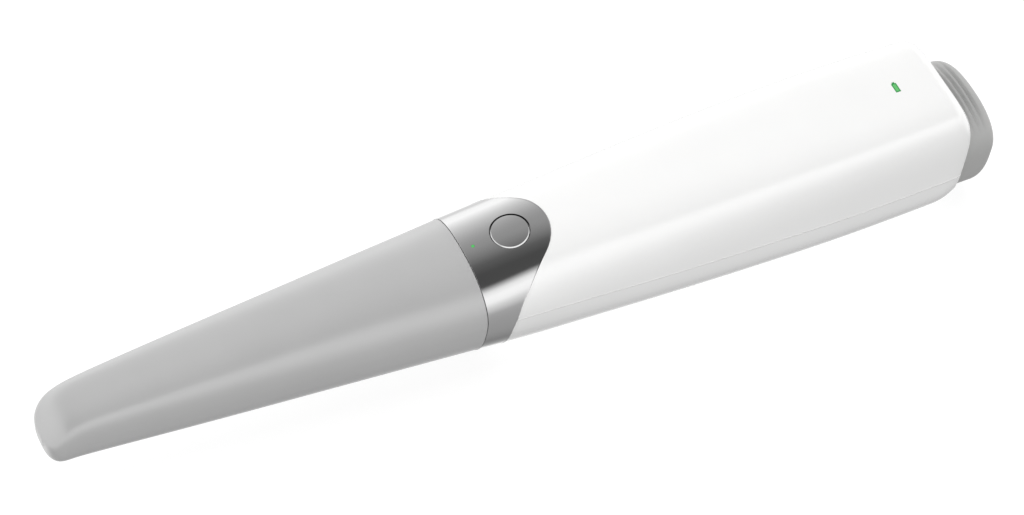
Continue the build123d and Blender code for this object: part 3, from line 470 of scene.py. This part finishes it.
def circuit_board(name, mask, trace):
    """Solder mask over copper tracks, from a brick pattern over a mask colour that varies with noise."""
    material, tree, shader, where = new_material(name)
    node = tree.nodes.new("ShaderNodeTexBrick")
    node.inputs["Scale"].default_value = 320
    node.inputs["Mortar Size"].default_value = 0.06
    node.inputs["Mortar Smooth"].default_value = 0.1
    node.inputs["Brick Width"].default_value = 0.9
    node.inputs["Row Height"].default_value = 0.45
    tree.links.new(where, node.inputs["Vector"])
    cloud = noise(tree, where, 500, 3.0)
    mix = tree.nodes.new("ShaderNodeMix")
    mix.data_type = "RGBA"
    mix.blend_type = "MIX"
    shades = ramp(tree, cloud, [(0.35, mask), (0.65, [c * 0.8 for c in mask])])
    tree.links.new(shades, mix.inputs["A"])
    mix.inputs["B"].default_value = (*trace, 1)
    tree.links.new(node.outputs["Fac"], mix.inputs["Factor"])
    tree.links.new(mix.outputs["Result"], shader.inputs["Base Color"])
    tree.links.new(spread_value(tree, cloud, 0.25, 0.4), shader.inputs["Roughness"])
    relief = tree.nodes.new("ShaderNodeBump")
    relief.inputs["Strength"].default_value = 0.3
    relief.inputs["Distance"].default_value = 0.00003
    tree.links.new(node.outputs["Fac"], relief.inputs["Height"])
    tree.links.new(relief.outputs["Normal"], shader.inputs["Normal"])
    return material


def lamp(name, colour, glow, strength):
    """Lit plastic: its glow is a little uneven, as a diffuser's is."""
    material, tree, shader, where = new_material(name)
    cloud = noise(tree, where, 1500, 2.0)
    tree.links.new(ramp(tree, cloud, [(0.3, colour), (0.7, [c * 0.85 for c in colour])]),
                   shader.inputs["Base Color"])
    tree.links.new(ramp(tree, cloud, [(0.3, glow), (0.7, [c * 0.8 for c in glow])]),
                   shader.inputs["Emission Color"])
    shader.inputs["Emission Strength"].default_value = strength
    shader.inputs["Roughness"].default_value = 0.3
    return material


def battery_sign(name, middle, length, width, line, edge, fill):
    """Lit battery sign: a darker outline round a lighter fill, by its place on the housing."""
    material, tree, shader, where = new_material(name)
    split = tree.nodes.new("ShaderNodeSeparateXYZ")
    tree.links.new(where, split.inputs["Vector"])

    def outside(output, centre, half):
        off = tree.nodes.new("ShaderNodeMath")
        off.operation = "SUBTRACT"
        off.inputs[1].default_value = centre
        tree.links.new(output, off.inputs[0])
        size = tree.nodes.new("ShaderNodeMath")
        size.operation = "ABSOLUTE"
        tree.links.new(off.outputs["Value"], size.inputs[0])
        test = tree.nodes.new("ShaderNodeMath")
        test.operation = "GREATER_THAN"
        test.inputs[1].default_value = half
        tree.links.new(size.outputs["Value"], test.inputs[0])
        return test.outputs["Value"]

    either = tree.nodes.new("ShaderNodeMath")
    either.operation = "MAXIMUM"
    tree.links.new(outside(split.outputs["X"], middle, width / 2 - line), either.inputs[0])
    tree.links.new(outside(split.outputs["Y"], 0.0, length / 2 - line), either.inputs[1])
    for name_of_input in ("Base Color", "Emission Color"):
        tree.links.new(ramp(tree, either.outputs["Value"], [(0.45, fill), (0.55, edge)]),
                       shader.inputs[name_of_input])
    shader.inputs["Emission Strength"].default_value = 0.25
    shader.inputs["Roughness"].default_value = 0.3
    return material


# ---- the visible shells --------------------------------------------------------------------
COLUMNS = 200               # points round a closed shell
SEAM_GAP, PANEL_GAP = 0.14, 0.06    # tip to collar, collar to housing
EDGE, FINE_EDGE = 0.14, 0.08        # roundings
around = [math.tau * i / COLUMNS for i in range(COLUMNS)]


def pole_shell(name, rings, inner_rings, edge_round):
    """Closed-ended shell: rings of points, the first a single point at the closed end."""
    outer = [rings[0]] + [p for ring in rings[1:] for p in ring]
    inner = [inner_rings[0]] + [p for ring in inner_rings[1:] for p in ring]
    faces = [(0, 1 + j, 1 + (j + 1) % COLUMNS) for j in range(COLUMNS)]
    faces += [tuple(1 + i for i in face) for face in grid_faces(len(rings) - 1, COLUMNS, True)]
    return thick_shell(name, outer, inner, faces, edge_round)


TIP_ROWS, FACE_ROWS, FACE_BULGE = 130, 7, 0.3
MIRROR_FOOT_HEIGHT = 13.8
WINDOW_MIDDLE, WINDOW_LENGTH, WINDOW_WIDTH, WINDOW_RADIUS = 10.2, 11.0, 11.0, 2.2


def end_rings(ring, bulge):
    """Rings that close a section towards its middle, with a slight dome."""
    low, high = min(p.z for p in ring), max(p.z for p in ring)
    middle = Vector((ring[0].x, 0, (low + high) / 2))
    rings = [middle + Vector((bulge, 0, 0))]
    for k in range(1, FACE_ROWS):
        turn = math.radians(90) * k / FACE_ROWS
        rings.append([middle + (p - middle) * math.sin(turn) + Vector((bulge * math.cos(turn), 0, 0))
                      for p in ring])
    return rings


def make_tip():
    end = SEAM - SEAM_GAP / 2 - EDGE
    outer, inner = [], []
    for i in range(TIP_ROWS):
        share = (i / (TIP_ROWS - 1)) ** 2
        outer.append([skin_point(end * share, a) for a in around])
        inner.append([skin_point(TIP_WALL + (end - TIP_WALL) * share, a, TIP_WALL, TIP_WALL * (1 - share))
                      for a in around])
    outer = end_rings(outer[0], -FACE_BULGE) + outer
    inner = end_rings(inner[0], 0.0) + inner
    tip = pole_shell("scan_tip_sleeve", outer, inner, EDGE)
    cut(tip, round_rectangle(at(WINDOW_MIDDLE), 0, WINDOW_LENGTH, WINDOW_WIDTH, WINDOW_RADIUS),
        -5, MIRROR_FOOT_HEIGHT + 0.4)
    return tip


BUTTON_RADIUS, BUTTON_GAP, BUTTON_CHAMFER, BUTTON_DROP = 5.35, 0.2, 0.32, 0.26
BUTTON_COLUMNS = 96         # points round the button
FLANGE_RADIUS, FLANGE_TOP, FLANGE_THICKNESS = 6.4, -2.35, 0.8
LED_AT, LED_RADIUS = 121.8, 0.45
button_rise = along(TOP_LINE, BUTTON_AT + 0.5) - along(TOP_LINE, BUTTON_AT - 0.5)
button_origin = Vector((at(BUTTON_AT), 0, along(TOP_LINE, BUTTON_AT)))
button_along = Vector((1, 0, button_rise)).normalized()
button_up = Vector((-button_rise, 0, 1)).normalized()


def in_button_frame(x, y, z):
    return button_origin + button_along * x + Vector((0, y, 0)) + button_up * z


def make_collar():
    def inner(share, start, end, angle):
        return skin_point(start + (end - start) * share, angle, SHELL_WALL)

    collar = skin_shell("collar_ring", around, True, lambda a: SEAM + SEAM_GAP / 2 + EDGE,
                        lambda a: collar_rear(a) - PANEL_GAP / 2 - FINE_EDGE, 64, lambda t: t, inner,
                        FINE_EDGE)
    cut(collar, circle(0, 0, BUTTON_RADIUS + BUTTON_GAP, BUTTON_COLUMNS), -8, 8, in_button_frame)
    cut(collar, circle(LED_AT - BUTTON_AT, 0, LED_RADIUS + 0.04, 24), -8, 8, in_button_frame)
    return collar


def make_button():
    """Button cap: it carries on the collar's curve, with a chamfer and a flange below."""
    rings = [(BUTTON_RADIUS - BUTTON_CHAMFER) * math.sin(math.radians(90) * k / 16) for k in range(1, 17)]
    rows = [[button_origin]]

    def top(radius, turn, drop):
        flat = in_button_frame(radius * math.cos(turn), radius * math.sin(turn), 0)
        flat.z = skin_top(flat.x + OVERALL_LENGTH / 2, flat.y)
        return flat - button_up * drop

    turns = [math.tau * j / BUTTON_COLUMNS for j in range(BUTTON_COLUMNS)]
    rows += [[top(r, t, 0) for t in turns] for r in rings]
    rows.append([top(BUTTON_RADIUS - 0.02, t, BUTTON_DROP) for t in turns])
    for radius, height in ((BUTTON_RADIUS, -BUTTON_DROP - 0.5), (BUTTON_RADIUS, FLANGE_TOP),
                           (FLANGE_RADIUS, FLANGE_TOP), (FLANGE_RADIUS, FLANGE_TOP - FLANGE_THICKNESS),
                           (0.01, FLANGE_TOP - FLANGE_THICKNESS)):
        rows.append([in_button_frame(radius * math.cos(t), radius * math.sin(t), height) for t in turns])
    points = [rows[0][0]] + [p for row in rows[1:] for p in row]
    faces = [(0, 1 + j, 1 + (j + 1) % BUTTON_COLUMNS) for j in range(BUTTON_COLUMNS)]
    faces += [tuple(1 + i for i in face) for face in grid_faces(len(rows) - 1, BUTTON_COLUMNS, True)]
    faces.append(tuple(range(len(points) - BUTTON_COLUMNS, len(points))))
    return make_object("button_cap", points, faces, 25)


HOUSING_ROWS, BORE_SHARE, BORE_START = 150, 0.93, 254.0


def housing_inner(share, start, end, angle):
    """Inside of a housing shell: the main hollow, then the bore that takes the end cap."""
    if share < BORE_SHARE:
        return skin_point(start + (CAVITY_REAR - start) * share / BORE_SHARE, angle, SHELL_WALL)
    rim = skin_point(end, angle)
    up = rim.z - CAP_SIDE
    height = (CAP_TOP + BORE_GAP - CAP_SIDE) if up >= 0 else (CAP_SIDE - CAP_BELLY + BORE_GAP)
    cap_angle = math.atan2(up / height, rim.y / (CAP_HALF_WIDTH + BORE_GAP))
    reach = (share - BORE_SHARE) / (1 - BORE_SHARE)
    return cap_point(BORE_START + (end - 0.6 - BORE_START) * reach, cap_angle, BORE_GAP)


def make_housing(name, first):
    """Half of the handle's skin, from an angle on the widest line round to the other side."""
    margin = (PANEL_GAP / 2 + FINE_EDGE) / HALF_WIDTH[5][1]
    angles = [first + margin + (math.pi - 2 * margin) * i / 110 for i in range(111)]
    return skin_shell(name, angles, False, lambda a: collar_rear(a) + PANEL_GAP / 2 + FINE_EDGE,
                      lambda a: housing_rear(a) - FINE_EDGE, HOUSING_ROWS, lambda t: 1 - (1 - t) ** 1.6,
                      housing_inner, FINE_EDGE)


ICON_AT, ICON_LENGTH, ICON_WIDTH, ICON_NUB = 250.6, 3.1, 1.5, 0.45


def icon_outline(grow):
    """Battery-shaped outline, as the CAD's light."""
    x, half, tall, nub = at(ICON_AT), ICON_WIDTH / 2 + grow, ICON_LENGTH / 2 + grow, ICON_WIDTH / 4 + grow
    return [(x - half, -tall), (x + half, -tall), (x + half, tall), (x + nub, tall),
            (x + nub, tall + ICON_NUB), (x - nub, tall + ICON_NUB), (x - nub, tall), (x - half, tall)]


GROOVE_DEPTH, GROOVE_PITCH, GROOVE_FIRST, GROOVE_HALF = 0.75, 1.85, 271.15, 0.75
GROOVE_END, GROOVE_FULL = 0.55, 1.0     # sine of the angle round the cap where a groove ends and is full
SEAL_FRONT, SEAL_REAR, SEAL_GROOVE = 258.95, 260.85, 0.8


def groove_depth(distance, angle):
    """Depth of the cap's three grip grooves, with soft edges, fading out down its sides."""
    depth = 0.0
    for i in range(3):
        off = abs(distance - GROOVE_FIRST - i * GROOVE_PITCH) / GROOVE_HALF
        if off < 1:
            depth = max(depth, GROOVE_DEPTH * (0.5 + 0.5 * math.cos(math.pi * off)) ** 0.8)
    share = min(max((math.sin(angle) - GROOVE_END) / (GROOVE_FULL - GROOVE_END), 0.0), 1.0)
    return depth * share ** 2 * (3 - 2 * share)


def make_end_cap():
    straight = OVERALL_LENGTH - CAP_ROUND_LENGTH
    profile = [(CAP_FRONT + EDGE, 0.0), (SEAL_FRONT - 0.02, 0.0), (SEAL_FRONT, -SEAL_GROOVE),
               (SEAL_REAR, -SEAL_GROOVE), (SEAL_REAR + 0.02, 0.0)]
    profile += [(SEAL_REAR + (straight - SEAL_REAR) * i / 90, 0.0) for i in range(1, 91)]
    for i in range(1, 31):
        turn = math.radians(90) * i / 30
        profile.append((straight + CAP_ROUND_LENGTH * math.sin(turn), -CAP_ROUND_DEPTH * (1 - math.cos(turn))))
    outer, inner = [], []
    for distance, grow in reversed(profile):
        outer.append([cap_point(distance, a, grow, groove_depth(distance, a)) for a in around])
        inner.append([cap_point(min(distance, straight), a, min(grow, 0.0) * 0.5 - CAP_WALL) for a in around])
    outer = end_rings(outer[0], 0.0) + outer
    inner = end_rings(inner[0], 0.0) + inner
    cap = pole_shell("battery_end_cap", outer, inner, EDGE)
    # groove depth at each point, the mask for the painted shade in the cap's grooves
    shade = cap.data.attributes.new("groove", "FLOAT", "POINT")
    for vertex, value in zip(cap.data.vertices, shade.data):
        point = vertex.co / MM
        height = (point.z - CAP_SIDE) / (CAP_TOP - CAP_SIDE)
        angle = math.atan2(height, abs(point.y) / CAP_HALF_WIDTH)
        value.value = groove_depth(point.x + OVERALL_LENGTH / 2, angle) / GROOVE_DEPTH
    return cap


tip = make_tip()
collar = make_collar()
button = make_button()
upper = make_housing("upper_shell", 0.0)
cut(upper, icon_outline(0.03), 38, 50)
lower = make_housing("lower_shell", math.pi)
end_cap = make_end_cap()

SHELLS = [(tip, "tip", "scan_tip"), (collar, "handle", "collar"), (button, "button", "scan_button"),
          (upper, "handle", "upper_housing"), (lower, "handle", "lower_housing"),
          (end_cap, "battery", "end_cap")]

# ---- finishes, by the record's material slots ------------------------------------------------
slot_of = {part["node"]: part["material_slot"] for part in frame["record"]["subparts"]}
METRE_ICON = (at(ICON_AT) * MM, ICON_LENGTH * MM, ICON_WIDTH * MM)
FINISHES = {
    "tip_polymer": surface("tip_polymer", (0.435, 0.435, 0.435), 0.012, (0.28, 0.33), grain=5200, bump=0.05,
                           specular=1.0, coat=0.6, coat_roughness=0.26),
    "mirror": surface("front_mirror", (0.90, 0.91, 0.93), 0.01, (0.02, 0.04), metallic=1.0, bump=0.0),
    "collar_metal": surface("collar_metal", (0.61, 0.61, 0.61), 0.015, (0.10, 0.13), metallic=1.0, grain=900,
                            bump=0.02, stretch=(1, 9, 9)),
    "button_metal": surface("button_metal", (0.61, 0.61, 0.61), 0.015, (0.10, 0.13), metallic=1.0, grain=900,
                            bump=0.02, stretch=(1, 9, 9)),
    "housing_white": surface("housing_white", (0.90, 0.90, 0.895), 0.006, (0.20, 0.26), grain=3200, bump=0.03,
                             specular=0.7, coat=0.9, coat_roughness=0.09),
    "barrel_dark": surface("barrel_dark", (0.035, 0.036, 0.04), 0.1, (0.42, 0.55), grain=4500, bump=0.2),
    "cap_grey": surface("cap_grey", (0.385, 0.385, 0.38), 0.02, (0.36, 0.44), grain=4200, bump=0.12,
                        specular=0.45),
    "inner_plastic": surface("inner_plastic", (0.07, 0.072, 0.08), 0.1, (0.45, 0.6), grain=3000, bump=0.25),
    "rubber": surface("rubber", (0.03, 0.03, 0.032), 0.15, (0.6, 0.75), grain=3500, bump=0.3, specular=0.3),
    "glass": glass("coated_glass", (0.86, 0.93, 1.0), 0.02),
    "pcb": circuit_board("circuit_board", (0.012, 0.11, 0.045), (0.07, 0.30, 0.12)),
    "chip": surface("chip_package", (0.022, 0.022, 0.024), 0.2, (0.38, 0.5), grain=6000, bump=0.3),
    "aluminium": surface("milled_aluminium", (0.78, 0.79, 0.80), 0.02, (0.28, 0.42), metallic=1.0, grain=1200,
                         bump=0.15, stretch=(1, 14, 1)),
    "steel": surface("bright_steel", (0.62, 0.62, 0.61), 0.03, (0.2, 0.32), metallic=1.0, grain=2500, bump=0.1),
    "gold": surface("gold_plate", (0.90, 0.63, 0.22), 0.03, (0.16, 0.26), metallic=1.0, grain=3500, bump=0.08),
    "shield": surface("tinned_sheet", (0.66, 0.67, 0.68), 0.05, (0.3, 0.42), metallic=1.0, grain=1800,
                      bump=0.12),
    "light_green": lamp("green_light_guide", (0.06, 0.36, 0.09), (0.07, 0.50, 0.10), 0.35),
    "cell_wrap": surface("cell_wrap", (0.05, 0.12, 0.33), 0.08, (0.2, 0.35), grain=500, bump=0.35,
                         depth=0.0001, coat=0.4),
    "flex": surface("polyimide", (0.55, 0.25, 0.035), 0.1, (0.25, 0.4), grain=700, bump=0.1,
                    stretch=(1, 16, 1)),
}
# painted shade: the end cap's grey is darkened to 0.86 of its colour in its grip grooves
paint_groove_shade(FINISHES["cap_grey"], 0.86)
SIGN = battery_sign("battery_sign", *METRE_ICON, 0.00032, (0.020, 0.22, 0.050), (0.10, 0.42, 0.125))


def paint(piece, material):
    """Gives a piece one material all over."""
    piece.data.materials.clear()
    piece.data.materials.append(material)


for piece, body, node in SHELLS:
    paint(piece, FINISHES[slot_of[node]])
    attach(piece, body)
    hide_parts(node)
for node, slot_name in slot_of.items():
    paint(nodes[node], SIGN if node == "battery_indicator" else FINISHES[slot_name])


# ---- studio -----------------------------------------------------------------------------------
def floor_paint():
    """White light table: it gives off its own even light, which leaves only a faint shadow."""
    material, tree, shader, where = new_material("floor_paint")
    cloud = noise(tree, where, 2, 2.0)
    tint = ramp(tree, cloud, [(0.3, (0.30, 0.30, 0.30)), (0.7, (0.31, 0.31, 0.31))])
    tree.links.new(tint, shader.inputs["Base Color"])
    tree.links.new(spread_value(tree, cloud, 0.8, 0.9), shader.inputs["Roughness"])
    shader.inputs["Specular IOR Level"].default_value = 0.0
    shader.inputs["Emission Color"].default_value = (1, 1, 1, 1)
    shader.inputs["Emission Strength"].default_value = 0.8
    return material


def make_floor():
    """Pale, even studio floor, just under the resting face. Reflections see the studio instead."""
    half = 2.5
    mesh = bpy.data.meshes.new("studio_floor")
    corners = [(-half, -half, 0), (half, -half, 0), (half, half, 0), (-half, half, 0)]
    mesh.from_pydata(corners, [], [(0, 1, 2, 3)])
    floor = bpy.data.objects.new("studio_floor", mesh)
    floor.location.z = -0.0003
    bpy.context.scene.collection.objects.link(floor)
    floor.data.materials.append(floor_paint())
    floor.visible_glossy = False
    floor.visible_diffuse = False


def make_studio():
    """Soft surroundings, seen in reflections and lighting every side. The camera sees them as plain white.

    Brightness goes by the direction's turn about the body's length, and evens out towards its two ends."""
    world = bpy.data.worlds.new("studio")
    world.use_nodes = True
    tree = world.node_tree
    background = tree.nodes["Background"]
    where = tree.nodes.new("ShaderNodeTexCoord")
    split = tree.nodes.new("ShaderNodeSeparateXYZ")
    tree.links.new(where.outputs["Generated"], split.inputs["Vector"])
    turn = tree.nodes.new("ShaderNodeMath")
    turn.operation = "ARCTAN2"
    tree.links.new(split.outputs["Z"], turn.inputs[0])
    tree.links.new(split.outputs["Y"], turn.inputs[1])
    share = tree.nodes.new("ShaderNodeMapRange")
    share.inputs["From Min"].default_value = -math.pi
    share.inputs["From Max"].default_value = math.pi
    tree.links.new(turn.outputs["Value"], share.inputs["Value"])
    stops = [((degrees + 180) / 360, (level / STUDIO_PEAK,) * 3) for degrees, level in STUDIO_LEVELS]
    bands = ramp(tree, share.outputs["Result"], stops)

    lengthways = tree.nodes.new("ShaderNodeMath")
    lengthways.operation = "ABSOLUTE"
    tree.links.new(split.outputs["X"], lengthways.inputs[0])
    end_share = tree.nodes.new("ShaderNodeMapRange")
    end_share.interpolation_type = "SMOOTHSTEP"
    end_share.inputs["From Min"].default_value = 0.75
    end_share.inputs["From Max"].default_value = 0.97
    tree.links.new(lengthways.outputs["Value"], end_share.inputs["Value"])
    evened = blended(tree, end_share.outputs["Result"], bands, (END_LEVEL / STUDIO_PEAK,) * 3)
    tree.links.new(evened, background.inputs["Color"])
    background.inputs["Strength"].default_value = STUDIO_PEAK

    plain = tree.nodes.new("ShaderNodeBackground")
    plain.inputs["Color"].default_value = (1, 1, 1, 1)
    path = tree.nodes.new("ShaderNodeLightPath")
    either = tree.nodes.new("ShaderNodeMixShader")
    tree.links.new(path.outputs["Is Camera Ray"], either.inputs["Fac"])
    tree.links.new(background.outputs["Background"], either.inputs[1])
    tree.links.new(plain.outputs["Background"], either.inputs[2])
    tree.links.new(either.outputs["Shader"], tree.nodes["World Output"].inputs["Surface"])
    bpy.context.scene.world = world


# turn of the direction about the body's length, in degrees, and brightness there:
# 0 is level on the far side, 90 straight up, 180 level on the near side, below 0 is under the floor
STUDIO_LEVELS = [(-180, 0.82), (-168, 0.58), (-150, 0.52), (-112, 0.46), (-95, 0.30), (-82, 0.48), (-68, 1.1),
                 (-45, 1.0), (-20, 0.95), (-5, 1.45), (12, 1.55), (34, 0.95), (52, 0.56), (64, 0.36),
                 (78, 0.16), (92, 0.10), (114, 0.10), (128, 1.25), (140, 1.5), (154, 1.42), (168, 1.05),
                 (180, 0.82)]
STUDIO_PEAK, END_LEVEL = 1.6, 1.3


def soft_light(name, place, aim, size, watts):
    """Large square lamp that reflections don't show."""
    lamp_data = bpy.data.lights.new(name, "AREA")
    lamp_data.size = size
    lamp_data.energy = watts
    made = bpy.data.objects.new(name, lamp_data)
    made.location = place
    made.rotation_euler = (Vector(aim) - Vector(place)).to_track_quat("-Z", "Y").to_euler()
    made.visible_glossy = False
    bpy.context.scene.collection.objects.link(made)


def make_camera():
    lens = bpy.data.cameras.new("camera")
    lens.lens = 105.16
    lens.sensor_width = 36
    lens.clip_start, lens.clip_end = 0.01, 20
    camera = bpy.data.objects.new("camera", lens)
    camera.location = (-0.25307, -0.40583, 0.67315)
    camera.rotation_euler = [math.radians(a) for a in (36.1027, -4.2265, -25.6683)]
    bpy.context.scene.collection.objects.link(camera)
    bpy.context.scene.camera = camera


make_floor()
make_studio()
soft_light("overhead", (0.0, 0.45, 1.48), (0, 0, 0), 1.6, 14)
soft_light("front_fill", (-0.3, -1.3, 0.8), (0, 0, 0), 1.4, 0.5)
make_camera()
bpy.context.scene.view_settings.view_transform = "Standard"
